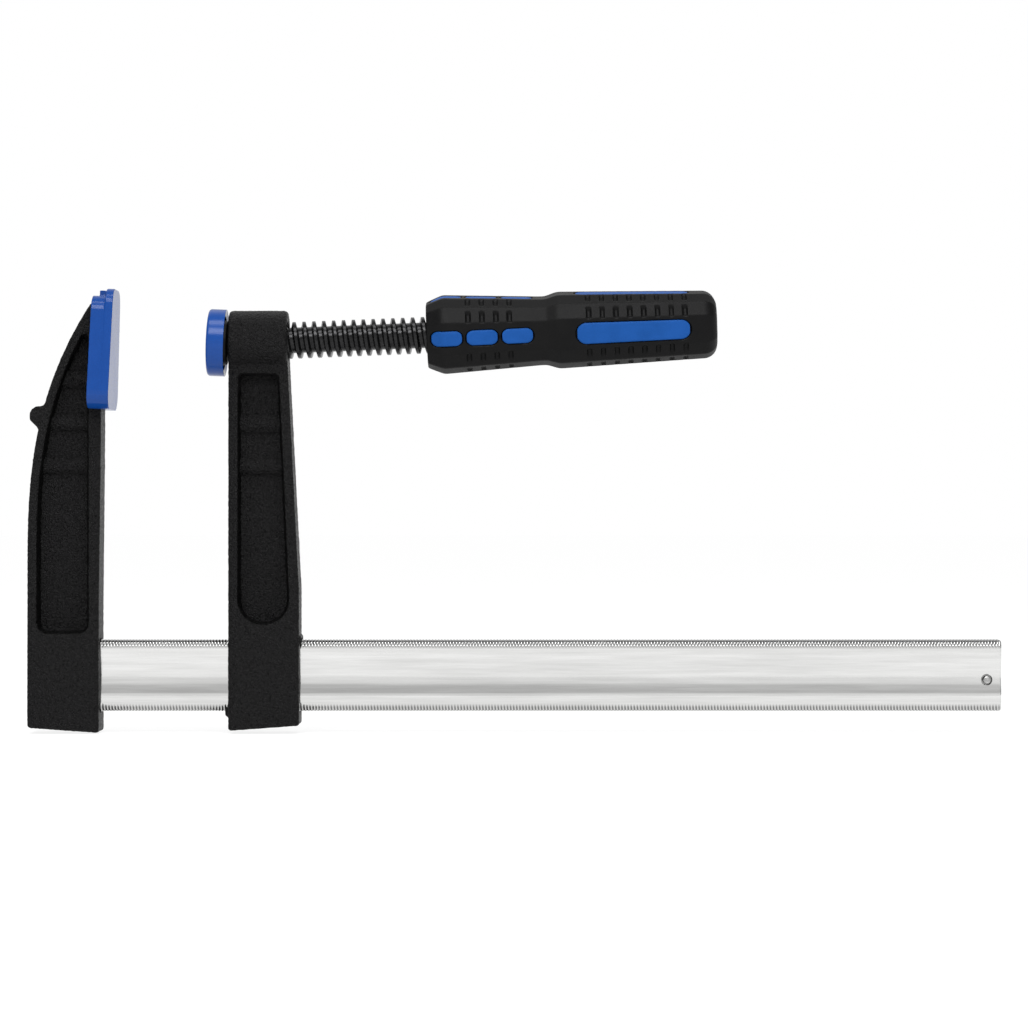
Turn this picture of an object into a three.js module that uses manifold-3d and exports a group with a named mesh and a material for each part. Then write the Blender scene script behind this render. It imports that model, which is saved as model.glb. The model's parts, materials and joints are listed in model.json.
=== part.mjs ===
// F clamp with a 120 mm throat and a 300 mm capacity, in millimetres.
// The origin is the middle of the fixed jaw's clamping face, where the screw's axis meets it.
// +X runs along the rail away from the fixed jaw, +Z from the rail to the jaws, +Y to the back.

import * as THREE from 'three';
import { mergeVertices } from 'three/addons/utils/BufferGeometryUtils.js';
import Module from 'manifold-3d';

const wasm = await Module();
wasm.setup();

// ---- driving dimensions ----

const GAP = 0.3; // left between two pieces that touch
const DEGREE = Math.PI / 180;
const JAW_LEAN = 2.2 * DEGREE; // both jaw faces lean, with their tops towards +X
const SCREW_LEAN = 2.25 * DEGREE; // the screw rises towards its handle

const RAIL = {
  top: -118.2,
  bottom: -147.4,
  halfThickness: 4,
  left: -33.2,
  right: 358.8,
  edgeRise: 3.2, // height of each rounded edge
  edgeHalfFlat: 1.8,
  grooveHalfHeight: 7.2,
  grooveDepth: 0.8,
};
const STOP_PIN = { x: 352.9, z: -134.5, radius: 2.2, halfLength: 5.5, domeRise: 0.5 };

const FIXED_ARM = {
  back: -34.2,
  front: -5.6,
  frontAtJaw: -4.85, // the clamping side comes forward between the two heights below
  frontStart: -103,
  frontEnd: -42,
  crease: -9.3, // the strip in front of this line slopes in to the clamping side
  top: 18,
  shoulderX: -9,
  shoulderZ: 17.1,
  curveStart: -90, // the back is upright below this height
  bottomAtBack: -153.6,
  bottomAtFront: -155.6,
};
const SLIDING_ARM = {
  left: 46.7,
  right: 75.1,
  crease: 50.1,
  neckRight: 70.3,
  neckZ: -3.2,
  taperEnd: -98,
  bottomAtLeft: -154.8,
  bottomAtRight: -152.7,
};
const BOSS = { radius: 12.4, z: 2.35, edge: 1.3 };
const ARM_SECTION = {
  baseZ: -155,
  baseHalf: 9,
  topHalf: 7.6,
  topZ: 20,
  webHalf: 3,
  stripSlope: 0.8 / 3.7, // fall of the strip beside the clamping side
};
const POCKET = { draft: 1.2, draftDepth: 6.5 };
const RIB_RISE = 1.8;
const RAIL_PLAY = 0.4; // above and below the rail in the sliding arm

const JAW = {
  top: 23.3,
  bottom: -25.4,
  topHalf: 12,
  bottomHalf: 17,
  corner: 6.5,
  depth: 8.7,
  wall: 2.4,
  front: 2.9,
  shellTop: 20.3,
};
const PAD = { faceX: 37.71, faceZ: 2.04, radius: 13.55, thickness: 7.4, flatRadius: 9 };
const BALL = { x: 44.83, radius: 4, depthInPad: 7.1, neckRadius: 2.7 };
const THREAD = { outerRadius: 7.45, start: 51.3 };
const RING = { x: BALL.x + 3.3, meanRadius: 3.65, wireRadius: 0.5 };
const SHANK = { radius: 5, end: 79.4 };

const HANDLE = {
  front: 126.7, // along the screw
  length: 117.2,
  roll: 10.5 * DEGREE,
  landHalfAngle: 22.5 * DEGREE,
  facetAngle: 28 * DEGREE,
  coreRadius: 9,
  coreStart: 1.6,
  coreEnd: 108.2,
};
const INLAY = { recess: 1.2, thickness: 0.9 };
const INLAYS = [
  { name: 'short_inlay_a', from: 1.7, to: 14.5, frontWidth: 6, backWidth: 6 },
  { name: 'short_inlay_b', from: 15.9, to: 28.8, frontWidth: 6, backWidth: 6 },
  { name: 'short_inlay_c', from: 30.2, to: 43, frontWidth: 6, backWidth: 6 },
  { name: 'long_inlay', from: 60.2, to: 106.2, frontWidth: 8.6, backWidth: 7.7 },
];
const LANDS = ['top', 'front', 'bottom', 'back'];

const X_AXIS = new THREE.Vector3(1, 0, 0);
const Y_AXIS = new THREE.Vector3(0, 1, 0);
const Z_AXIS = new THREE.Vector3(0, 0, 1);

// ---- materials ----

const paint = (color, roughness, metalness) => new THREE.MeshStandardMaterial({ color, roughness, metalness });
const brightSteel = () => paint(0xd3d5d8, 0.25, 1);
const blackCasting = () => paint(0x1d1d1f, 0.6, 0.2);
const blackSteel = () => paint(0x232326, 0.4, 0.8);
const blueCap = () => paint(0x1d4aa8, 0.35, 0);
const blackRubber = () => paint(0x1b1b1c, 0.65, 0);
const blueSoft = () => paint(0x1a43a0, 0.6, 0);

// ---- shape helpers ----

// A closed outline from corners [x, y, radius], with an arc at each corner that has a radius.
function outline(corners) {
  const shape = new THREE.Shape();
  corners.forEach(([x, y, radius = 0], i) => {
    const corner = new THREE.Vector2(x, y);
    const [beforeX, beforeY] = corners.at(i - 1);
    const [afterX, afterY] = corners[(i + 1) % corners.length];
    const toBefore = new THREE.Vector2(beforeX, beforeY).sub(corner).normalize();
    const toAfter = new THREE.Vector2(afterX, afterY).sub(corner).normalize();
    const halfAngle = Math.acos(toBefore.dot(toAfter)) / 2;
    const reach = radius / Math.tan(halfAngle);
    const start = corner.clone().addScaledVector(toBefore, reach);
    const end = corner.clone().addScaledVector(toAfter, reach);
    if (i === 0) {
      shape.moveTo(start.x, start.y);
    } else if (start.distanceTo(shape.currentPoint) > 1e-6) {
      shape.lineTo(start.x, start.y);
    }
    if (radius > 0) {
      const inward = toBefore.clone().add(toAfter).normalize();
      const centre = corner.clone().addScaledVector(inward, radius / Math.sin(halfAngle));
      const startAngle = Math.atan2(start.y - centre.y, start.x - centre.x);
      const endAngle = Math.atan2(end.y - centre.y, end.x - centre.x);
      const clockwise = toBefore.cross(toAfter) > 0;
      shape.absarc(centre.x, centre.y, radius, startAngle, endAngle, clockwise);
    }
  });
  shape.closePath();
  return shape;
}

function extruded(shape, depth, options = {}) {
  return new THREE.ExtrudeGeometry(shape, { depth, bevelEnabled: false, curveSegments: 3, ...options });
}

// An outline drawn in (X, Z), given its thickness along Y.
function acrossY(shape, fromY, toY) {
  return extruded(shape, toY - fromY).rotateX(Math.PI / 2).translate(0, toY, 0);
}

// An outline drawn in (Y, Z), given its length along X.
function alongX(shape, fromX, toX) {
  const turn = new THREE.Matrix4().makeBasis(Y_AXIS, Z_AXIS, X_AXIS);
  return extruded(shape, toX - fromX).applyMatrix4(turn).translate(fromX, 0, 0);
}

// A turned piece about the X axis, from a profile of [x, radius].
function turned(profile, segments) {
  const points = profile.map(([x, radius]) => new THREE.Vector2(radius, x));
  return new THREE.LatheGeometry(points, segments).rotateZ(-Math.PI / 2);
}

// Profile points on a circle about (x, 0), from one angle to another, measured from +X.
function profileArc(x, radius, fromAngle, toAngle, steps) {
  return Array.from({ length: steps + 1 }, (_, i) => {
    const angle = fromAngle + ((toAngle - fromAngle) * i) / steps;
    return [x + radius * Math.cos(angle), Math.max(0, radius * Math.sin(angle))];
  });
}

function cylinderAlongX(radius, fromX, toX, segments) {
  return turned([[fromX, 0], [fromX, radius], [toX, radius], [toX, 0]], segments);
}

function box(fromX, toX, halfY, fromZ, toZ) {
  const geometry = new THREE.BoxGeometry(toX - fromX, 2 * halfY, toZ - fromZ);
  return geometry.translate((fromX + toX) / 2, 0, (fromZ + toZ) / 2);
}

// Everything on the far side of a plane, for cutting a slope.
function beyond(point, normal) {
  const size = 600;
  const turn = new THREE.Quaternion().setFromUnitVectors(Z_AXIS, normal.clone().normalize());
  return new THREE.BoxGeometry(size, size, size).translate(0, 0, size / 2).applyQuaternion(turn).translate(
    point.x, point.y, point.z,
  );
}

// ---- boolean helpers ----

function solid(geometry) {
  const bare = geometry.clone();
  bare.deleteAttribute('normal');
  bare.deleteAttribute('uv');
  const welded = mergeVertices(bare, 1e-4);
  const index = Array.from(welded.index.array);
  const corners = [];
  for (let i = 0; i < index.length; i += 3) {
    const [a, b, c] = index.slice(i, i + 3);
    if (a !== b && b !== c && c !== a) corners.push(a, b, c);
  }
  return new wasm.Manifold(new wasm.Mesh({
    numProp: 3,
    vertProperties: new Float32Array(welded.attributes.position.array),
    triVerts: new Uint32Array(corners),
  }));
}

function geometryOf(manifold) {
  const mesh = manifold.getMesh();
  const geometry = new THREE.BufferGeometry();
  geometry.setAttribute('position', new THREE.BufferAttribute(new Float32Array(mesh.vertProperties), 3));
  geometry.setIndex(new THREE.BufferAttribute(new Uint32Array(mesh.triVerts), 1));
  geometry.computeVertexNormals();
  return geometry;
}

const joined = (body, geometries) => geometries.reduce((result, item) => result.add(solid(item)), body);
const cutBy = (body, geometries) => geometries.reduce((result, item) => result.subtract(solid(item)), body);

function place(parent, name, geometry, material) {
  const mesh = new THREE.Mesh(geometry, material);
  mesh.name = name;
  parent.add(mesh);
}

// ---- rail and its stop pin ----

function railGeometry() {
  const { top, bottom, halfThickness, edgeRise, edgeHalfFlat, grooveHalfHeight, grooveDepth } = RAIL;
  const middle = (top + bottom) / 2;
  const shape = new THREE.Shape();
  shape.moveTo(-edgeHalfFlat, bottom);
  shape.lineTo(edgeHalfFlat, bottom);
  for (const side of [1, -1]) {
    const face = side * halfThickness;
    const flat = side * edgeHalfFlat;
    const first = side > 0 ? bottom : top;
    const last = side > 0 ? top : bottom;
    shape.quadraticCurveTo(face, first, face, first + side * edgeRise);
    shape.lineTo(face, middle - side * grooveHalfHeight);
    shape.quadraticCurveTo(face - side * 2 * grooveDepth, middle, face, middle + side * grooveHalfHeight);
    shape.lineTo(face, last - side * edgeRise);
    shape.quadraticCurveTo(face, last, flat, last);
    if (side > 0) shape.lineTo(-edgeHalfFlat, last);
  }
  const bar = solid(alongX(shape, RAIL.left, RAIL.right));
  const hole = new THREE.CylinderGeometry(STOP_PIN.radius + GAP, STOP_PIN.radius + GAP, 20, 24);
  return geometryOf(cutBy(bar, [hole.translate(STOP_PIN.x, 0, STOP_PIN.z)]));
}

function stopPinGeometry() {
  const { radius, halfLength, domeRise, x, z } = STOP_PIN;
  const profile = [
    [-halfLength, 0],
    [-halfLength, 0.6 * radius],
    [-halfLength + domeRise, radius],
    [halfLength - domeRise, radius],
    [halfLength, 0.6 * radius],
    [halfLength, 0],
  ];
  return turned(profile, 20).rotateZ(Math.PI / 2).translate(x, 0, z);
}

// ---- what both arms share ----

function armHalfAt(z) {
  const { baseZ, baseHalf, topHalf, topZ } = ARM_SECTION;
  return baseHalf + ((topHalf - baseHalf) * (z - baseZ)) / (topZ - baseZ);
}

// The arm's outline, thinner towards the jaw, with a sloping strip beside its clamping side.
function armBlank(shape, creaseX, clampingSide) {
  const { baseHalf, baseZ, topHalf, topZ, stripSlope } = ARM_SECTION;
  const rise = (baseHalf - topHalf) / (topZ - baseZ);
  const sides = [-1, 1].flatMap((side) => {
    const onCrease = new THREE.Vector3(creaseX, side * armHalfAt(0), 0);
    return [
      beyond(onCrease, new THREE.Vector3(0, side, rise)),
      beyond(onCrease, new THREE.Vector3(clampingSide * stripSlope, side, rise)),
    ];
  });
  return cutBy(solid(acrossY(shape, -baseHalf - 1, baseHalf + 1)), sides);
}

// A pocket from each side, with walls that slope in to the web.
function pocketCutters(shape) {
  const beyondArm = 12;
  const drafted = {
    bevelEnabled: true,
    bevelSegments: 1,
    bevelSize: POCKET.draft,
    bevelOffset: -POCKET.draft,
    bevelThickness: POCKET.draftDepth,
  };
  const toFloor = ARM_SECTION.webHalf + POCKET.draftDepth;
  return [-toFloor, toFloor + beyondArm].map((offset) => (
    extruded(shape, beyondArm, drafted).rotateX(Math.PI / 2).translate(0, offset, 0)
  ));
}

// A rounded cross rib that stands out of the web on both sides.
function rib(fromX, toX, bottomZ, topZ) {
  const crest = ARM_SECTION.webHalf + RIB_RISE;
  const halfHeight = (topZ - bottomZ) / 2 / Math.sqrt(1 - (ARM_SECTION.webHalf / crest) ** 2);
  const shape = new THREE.Shape();
  shape.absellipse(0, (topZ + bottomZ) / 2, crest, halfHeight, 0, 2 * Math.PI, false);
  return new THREE.ExtrudeGeometry(shape, { depth: toX - fromX, bevelEnabled: false, curveSegments: 10 })
    .applyMatrix4(new THREE.Matrix4().makeBasis(Y_AXIS, Z_AXIS, X_AXIS))
    .translate(fromX, 0, 0);
}

function withRibs(arm, blank, ribs) {
  return ribs.reduce((result, item) => result.add(solid(item).intersect(blank)), arm);
}

function railSlot(fromX, toX, play) {
  return box(fromX, toX, RAIL.halfThickness + GAP, RAIL.bottom - play, RAIL.top + play);
}

// ---- fixed arm ----

// The back of the fixed arm: upright, then leaning forward more and more towards the jaw.
function fixedArmBack(z) {
  const { back, shoulderX, shoulderZ, curveStart } = FIXED_ARM;
  const share = Math.max(0, (z - curveStart) / (shoulderZ - curveStart));
  return back + (shoulderX - back) * share ** 2.75;
}

function backPoints(fromZ, toZ, steps, inset = 0) {
  return Array.from({ length: steps + 1 }, (_, i) => {
    const z = fromZ + ((toZ - fromZ) * i) / steps;
    return [fixedArmBack(z) + inset, z];
  });
}

function fixedArmOutline() {
  const {
    back, front, frontAtJaw, frontStart, frontEnd, top, shoulderZ, bottomAtBack, bottomAtFront,
  } = FIXED_ARM;
  const knobTop = -24.1;
  const knobBack = -33.4;
  const knobFoot = -33;
  return outline([
    [front, bottomAtFront, 0.9],
    [front, frontStart],
    [frontAtJaw, frontEnd],
    [frontAtJaw, top],
    ...backPoints(shoulderZ, -20, 5),
    [fixedArmBack(knobTop), knobTop, 2],
    [knobBack, knobTop, 3.7],
    [knobBack, knobFoot + 3.5, 2.4],
    [fixedArmBack(knobFoot), knobFoot, 2],
    ...backPoints(-38, -78, 5),
    [back, bottomAtBack, 1.5],
  ]);
}

function fixedArmPocket() {
  const pocketTop = 5.4;
  const wall = 3.1;
  const backWall = FIXED_ARM.back + 3.4;
  return outline([
    [FIXED_ARM.crease, -115.9, 4.5],
    [FIXED_ARM.crease, pocketTop, 1.3],
    [fixedArmBack(pocketTop) + wall, pocketTop, 1.3],
    ...backPoints(-3, -60, 7, wall),
    [backWall, -75],
    [backWall, -115.9, 4.5],
  ]);
}

// The jaw's face as (Y, Z): wider at the foot, with round corners, drawn smaller by inset.
function jawOutline(inset, top = JAW.top) {
  const corner = JAW.corner - inset;
  return outline([
    [-JAW.bottomHalf + inset, JAW.bottom + inset, corner],
    [JAW.bottomHalf - inset, JAW.bottom + inset, corner],
    [JAW.topHalf - inset, top - inset, corner],
    [-JAW.topHalf + inset, top - inset, corner],
  ]);
}

function fixedArmGeometry() {
  const blank = armBlank(fixedArmOutline(), FIXED_ARM.crease, 1);
  const ribs = [[-17.2, -9], [-34.4, -26.4], [-51.8, -43.7]];
  const pocketed = cutBy(blank, pocketCutters(fixedArmPocket()));
  const ribbed = withRibs(pocketed, blank, ribs.map(([low, high]) => rib(-32, FIXED_ARM.front - 1, low, high)));
  const plateOutline = jawOutline(JAW.wall + GAP, JAW.shellTop);
  const jawPlate = alongX(plateOutline, -JAW.depth + 0.5, -JAW.front - GAP).rotateY(JAW_LEAN);
  const slot = railSlot(FIXED_ARM.back - 5, FIXED_ARM.front + 5, GAP);
  return geometryOf(cutBy(joined(ribbed, [jawPlate]), [slot]));
}

// ---- plastic cap on the fixed jaw ----

function fixedJawCapGeometry() {
  const rimDepth = 3;
  const tabHalf = 5;
  const tabBack = -JAW.depth + 2.4;
  const rim = alongX(jawOutline(0), -rimDepth, 0);
  const shell = alongX(jawOutline(0, JAW.shellTop), -JAW.depth, -rimDepth + 1);
  const tab = box(tabBack, -rimDepth + 1, tabHalf, JAW.shellTop - 1, JAW.top - 0.7);
  const socket = alongX(jawOutline(JAW.wall, JAW.shellTop), -JAW.depth - 5, -JAW.front);
  const throat = box(-40, FIXED_ARM.frontAtJaw + GAP, armHalfAt(JAW.bottom) + GAP, -60, 0);
  const body = joined(solid(rim), [shell, tab]);
  return geometryOf(cutBy(body, [socket, throat.rotateY(-JAW_LEAN)]));
}

// ---- sliding arm ----

function slidingArmGeometry() {
  const { left, right, crease, neckRight, neckZ, taperEnd, bottomAtLeft, bottomAtRight } = SLIDING_ARM;
  const shape = outline([
    [left, bottomAtLeft, 1],
    [right, bottomAtRight, 1],
    [right, taperEnd],
    [neckRight, neckZ],
    [neckRight, BOSS.z],
    [left, BOSS.z],
  ]);
  const blank = armBlank(shape, crease, -1);
  const pocket = outline([
    [crease, -112.3, 10.2],
    [71.4, -112.3, 10.2],
    [71.4, -100],
    [67.4, -10.4, 2.5],
    [crease, -10.4, 2.5],
  ]);
  const ribs = [[-35.3, -26.6], [-52.2, -43.9]];
  const pocketed = cutBy(blank, pocketCutters(pocket));
  const ribbed = withRibs(pocketed, blank, ribs.map(([low, high]) => rib(left + 1, right - 1, low, high)));
  const boss = turned([
    [left, 0],
    [left, BOSS.radius - BOSS.edge],
    [left + 0.3 * BOSS.edge, BOSS.radius - 0.3 * BOSS.edge],
    [left + BOSS.edge, BOSS.radius],
    [neckRight - BOSS.edge, BOSS.radius],
    [neckRight - 0.3 * BOSS.edge, BOSS.radius - 0.3 * BOSS.edge],
    [neckRight, BOSS.radius - BOSS.edge],
    [neckRight, 0],
  ], 48).translate(0, 0, BOSS.z);
  const lipHalf = 6.6;
  const lowerLip = acrossY(outline([
    [left + 1, -145.5],
    [left - 1.4, -145.5, 0.4],
    [left - 1.4, -148.6, 0.6],
    [left + 1, -150.6],
  ]), -lipHalf, lipHalf);
  const upperLip = box(right - 1, right + 0.8, lipHalf, -120, -116.8);
  const bore = cylinderAlongX(THREAD.outerRadius + GAP, left - 20, right + 20, 32).rotateY(-SCREW_LEAN);
  const slot = railSlot(left - 5, right + 5, RAIL_PLAY);
  return geometryOf(cutBy(joined(ribbed, [boss, lowerLip, upperLip]), [bore, slot]));
}

// ---- screw ----

function spindleGeometry() {
  const neckAngle = Math.asin(BALL.neckRadius / BALL.radius);
  const shoulder = HANDLE.front + 0.9;
  return turned([
    ...profileArc(BALL.x, BALL.radius, Math.PI, neckAngle, 9),
    [THREAD.start, BALL.neckRadius],
    [THREAD.start, THREAD.outerRadius - 1.6],
    [THREAD.start + 1.6, THREAD.outerRadius],
    [shoulder, THREAD.outerRadius],
    [shoulder, SHANK.radius],
    [HANDLE.front + SHANK.end - 1, SHANK.radius],
    [HANDLE.front + SHANK.end, SHANK.radius - 1],
    [HANDLE.front + SHANK.end, 0],
  ], 32);
}

function snapRingGeometry() {
  const ring = new THREE.TorusGeometry(RING.meanRadius, RING.wireRadius, 8, 24);
  return ring.rotateY(Math.PI / 2).translate(RING.x, 0, 0);
}

// ---- swivel pad, in a frame whose X axis runs from its face to its back ----

function swivelPlateGeometry() {
  const socketRadius = BALL.radius + GAP;
  const ringRoom = 4.6;
  const lipStart = BALL.depthInPad + 4.4;
  const tubeEnd = lipStart + 0.7;
  const tubeRadius = 5.6;
  const hubRadius = 8.8;
  const hubEnd = 8.2;
  const rimEnd = 6;
  const plateRadius = 11.4;
  const plateFront = 1.9;
  return turned([
    [plateFront, 0],
    [plateFront, plateRadius],
    [rimEnd, plateRadius],
    [rimEnd, hubRadius + 0.4],
    [hubEnd, hubRadius],
    [hubEnd, tubeRadius],
    [tubeEnd, tubeRadius],
    [tubeEnd, BALL.neckRadius + 0.6],
    [lipStart, BALL.neckRadius + 0.6],
    [lipStart, ringRoom],
    [BALL.depthInPad + GAP, ringRoom],
    ...profileArc(BALL.depthInPad, socketRadius, Math.PI / 2, Math.PI, 6),
  ], 36);
}

function movingJawCapGeometry() {
  const { radius, thickness, flatRadius } = PAD;
  const frontWall = 1.6;
  const socketRadius = 11.7;
  const lipStart = 6.4;
  const lipRadius = 10.9;
  return turned([
    [0, 0],
    [0, flatRadius],
    [0.2, radius - 2],
    [0.5, radius - 0.9],
    [1.1, radius - 0.3],
    [1.9, radius],
    [thickness - 0.3, radius],
    [thickness, radius - 0.3],
    [thickness, lipRadius],
    [lipStart, lipRadius],
    [lipStart, socketRadius],
    [frontWall, socketRadius],
    [frontWall, 0],
  ], 48);
}

// ---- handle, in a frame whose X axis runs from its front face to its end ----

// Four flat lands with two facets between each pair; angle is measured from a land's middle.
function sectionFactor(angle) {
  const { landHalfAngle, facetAngle } = HANDLE;
  const quarter = Math.PI / 2;
  const fromLand = Math.abs(angle - quarter * Math.round(angle / quarter));
  if (fromLand <= landHalfAngle) return 1 / Math.cos(fromLand);
  const facetDistance = Math.cos(facetAngle - landHalfAngle) / Math.cos(landHalfAngle);
  return facetDistance / Math.cos(fromLand - facetAngle);
}

// The grip's outer profile from its front face to its end, drawn smaller by inset.
function gripProfile(inset) {
  const end = HANDLE.length - inset;
  const endRound = 5.5;
  const knots = [
    [0, 12.5],
    [0.5, 12.95],
    [6, 15.15],
    [7.2, 15.35],
    [45.7, 13.4],
    [48.2, 13.4],
    [52.6, 14.8],
    [54, 14.95],
  ];
  const rearRadius = 13.2;
  const rear = Array.from({ length: 5 }, (_, i) => {
    const angle = (Math.PI / 2) * (1 - i / 4);
    return [
      end - endRound + endRound * Math.cos(angle),
      rearRadius - inset - endRound + endRound * Math.sin(angle),
    ];
  });
  return [...knots.map(([x, radius]) => [x, radius - inset]), ...rear];
}

// Turned first, then pushed out to the four-sided section along the outer profile only.
function gripShape(first, outer, last) {
  const profile = [first, ...outer, ...last];
  const geometry = turned(profile, 32);
  const position = geometry.attributes.position;
  for (let i = 0; i < position.count; i += 1) {
    const step = i % profile.length;
    const isOuter = step > 0 && step <= outer.length;
    const factor = isOuter ? sectionFactor(Math.atan2(position.getY(i), position.getZ(i))) : 1;
    position.setY(i, position.getY(i) * factor);
    position.setZ(i, position.getZ(i) * factor);
  }
  return geometry;
}

function wholeGrip(inset) {
  return solid(gripShape([0, 0], gripProfile(inset), [[HANDLE.length - inset, 0]]));
}

// A rounded-end outline on a land, standing up through the grip's surface.
function inlayPrism({ from, to, frontWidth, backWidth }, growth) {
  const front = frontWidth / 2 + growth;
  const back = backWidth / 2 + growth;
  return extruded(outline([
    [from - growth, -front, 0.98 * front],
    [to + growth, -back, 0.98 * back],
    [to + growth, back, 0.98 * back],
    [from - growth, front, 0.98 * front],
  ]), 20).translate(0, 0, 5);
}

function inlayGeometry(inlay) {
  const block = solid(inlayPrism(inlay, 0));
  return geometryOf(block.intersect(wholeGrip(0)).subtract(wholeGrip(INLAY.thickness)));
}

function gripGeometry() {
  const mouth = THREAD.outerRadius + GAP;
  const boreRadius = HANDLE.coreRadius + GAP;
  const frontWall = HANDLE.coreStart - GAP;
  const bore = [
    [HANDLE.length, 0],
    [HANDLE.coreEnd + GAP, 0],
    [HANDLE.coreEnd + GAP, boreRadius],
    [frontWall, boreRadius],
    [frontWall, mouth],
    [0, mouth],
  ];
  const shell = solid(gripShape([0, mouth], gripProfile(0), bore));
  const floor = wholeGrip(INLAY.recess);
  return geometryOf(INLAYS.reduce((grip, inlay) => {
    const recess = geometryOf(solid(inlayPrism(inlay, GAP)).subtract(floor));
    return cutBy(grip, LANDS.map((_, i) => recess.clone().rotateX((i * Math.PI) / 2)));
  }, shell));
}

function coreGeometry() {
  const { coreRadius, coreStart, coreEnd } = HANDLE;
  const bore = SHANK.radius + GAP;
  return turned([
    [coreStart, bore],
    [coreStart, coreRadius],
    [coreEnd, coreRadius],
    [coreEnd, 0],
    [SHANK.end + 1, 0],
    [SHANK.end + 1, bore],
    [coreStart, bore],
  ], 32);
}

// ---- the clamp ----

const clamp = new THREE.Group();
place(clamp, 'rail', railGeometry(), brightSteel());
place(clamp, 'rail_stop_pin', stopPinGeometry(), brightSteel());
place(clamp, 'fixed_arm', fixedArmGeometry(), blackCasting());
place(clamp, 'sliding_arm', slidingArmGeometry(), blackCasting());

const fixedJaw = new THREE.Group();
fixedJaw.rotation.y = JAW_LEAN;
place(fixedJaw, 'fixed_jaw_cap', fixedJawCapGeometry(), blueCap());
clamp.add(fixedJaw);

const swivelPad = new THREE.Group();
swivelPad.position.set(PAD.faceX, 0, PAD.faceZ);
swivelPad.rotation.y = JAW_LEAN;
place(swivelPad, 'moving_jaw_cap', movingJawCapGeometry(), blueCap());
place(swivelPad, 'swivel_plate', swivelPlateGeometry(), blackSteel());
clamp.add(swivelPad);

const screw = new THREE.Group();
screw.rotation.y = -SCREW_LEAN;
place(screw, 'spindle', spindleGeometry(), blackSteel());
place(screw, 'pad_snap_ring', snapRingGeometry(), brightSteel());
clamp.add(screw);

const handle = new THREE.Group();
handle.position.x = HANDLE.front;
handle.rotation.x = HANDLE.roll;
place(handle, 'handle_core', coreGeometry(), blackRubber());
place(handle, 'handle_grip', gripGeometry(), blackRubber());
INLAYS.forEach((inlay) => {
  LANDS.forEach((side, i) => {
    const land = new THREE.Group();
    land.rotation.x = (i * Math.PI) / 2;
    place(land, `${inlay.name}_${side}`, inlayGeometry(inlay), blueSoft());
    handle.add(land);
  });
});
screw.add(handle);

export default clamp;
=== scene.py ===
"""F clamp with a 120 mm throat and a 300 mm capacity: its visual pieces, built round the CAD frame.

Shapes are drawn in millimetres and turned into metres when a mesh is made.
"""
import json
import math

import bmesh
import bpy
import numpy as np
from mathutils import Matrix, Vector, noise


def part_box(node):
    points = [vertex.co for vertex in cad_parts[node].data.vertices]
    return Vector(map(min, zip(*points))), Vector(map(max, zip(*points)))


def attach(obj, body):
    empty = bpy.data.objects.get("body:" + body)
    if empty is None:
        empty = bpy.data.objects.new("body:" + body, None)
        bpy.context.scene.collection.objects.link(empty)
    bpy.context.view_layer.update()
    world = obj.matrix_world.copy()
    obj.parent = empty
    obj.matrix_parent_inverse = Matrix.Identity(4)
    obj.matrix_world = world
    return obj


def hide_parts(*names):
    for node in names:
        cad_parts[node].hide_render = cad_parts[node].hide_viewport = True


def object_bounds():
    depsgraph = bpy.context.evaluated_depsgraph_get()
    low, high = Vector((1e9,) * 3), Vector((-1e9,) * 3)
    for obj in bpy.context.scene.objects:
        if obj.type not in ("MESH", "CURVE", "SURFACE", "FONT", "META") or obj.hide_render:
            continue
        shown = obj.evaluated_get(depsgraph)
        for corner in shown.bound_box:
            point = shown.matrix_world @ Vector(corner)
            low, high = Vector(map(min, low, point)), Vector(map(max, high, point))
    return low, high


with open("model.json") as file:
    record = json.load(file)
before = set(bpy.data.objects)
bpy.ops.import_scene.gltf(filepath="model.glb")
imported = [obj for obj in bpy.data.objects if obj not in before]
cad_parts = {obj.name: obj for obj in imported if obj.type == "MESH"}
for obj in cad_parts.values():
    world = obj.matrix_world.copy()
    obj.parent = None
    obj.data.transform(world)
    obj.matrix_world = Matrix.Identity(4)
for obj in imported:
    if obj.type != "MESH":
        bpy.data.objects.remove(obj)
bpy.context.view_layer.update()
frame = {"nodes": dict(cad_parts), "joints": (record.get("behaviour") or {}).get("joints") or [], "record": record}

MM = 0.001
TAU = 2 * math.pi

# ---- dimensions, the same as the CAD's, in millimetres ----

BALL_X = 44.83
BALL_RADIUS = 4.0
BALL_IN_PAD = 7.1
NECK_RADIUS = 2.7
PITCH = 4.0
THREAD_RADIUS = 7.45
ROOT_RADIUS = 5.2
THREAD_START = 51.3
START_RADIUS = 5.85
CREST_HALF = 0.6
FLANK = 0.65
SHANK_RADIUS = 5.0
SHANK_END = 79.4

HANDLE_FRONT = 126.7
HANDLE_LENGTH = 117.2
HANDLE_ROLL = math.radians(10.5)
LAND_HALF_ANGLE = math.radians(22.5)
FACET_ANGLE = math.radians(28)
GRIP_KNOTS = [
    (0, 12.5), (0.5, 12.95), (6, 15.15), (7.2, 15.35),
    (45.7, 13.4), (48.2, 13.4), (52.6, 14.8), (54, 14.95),
]
GRIP_REAR_RADIUS = 13.2
GRIP_END_ROUND = 5.5
GRIP_MOUTH = 7.75
INLAY_GAP = 0.3
INLAY_RECESS = 1.2
INLAY_THICKNESS = 0.9
INLAY_EDGE_DROP = 0.32
INLAY_EDGE_WIDTH = 0.7
INLAYS = {
    "short_inlay_a": (1.7, 14.5, 6.0, 6.0),
    "short_inlay_b": (15.9, 28.8, 6.0, 6.0),
    "short_inlay_c": (30.2, 43.0, 6.0, 6.0),
    "long_inlay": (60.2, 106.2, 8.6, 7.7),
}
LANDS = ["top", "front", "bottom", "back"]


# ---- small helpers ----

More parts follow.
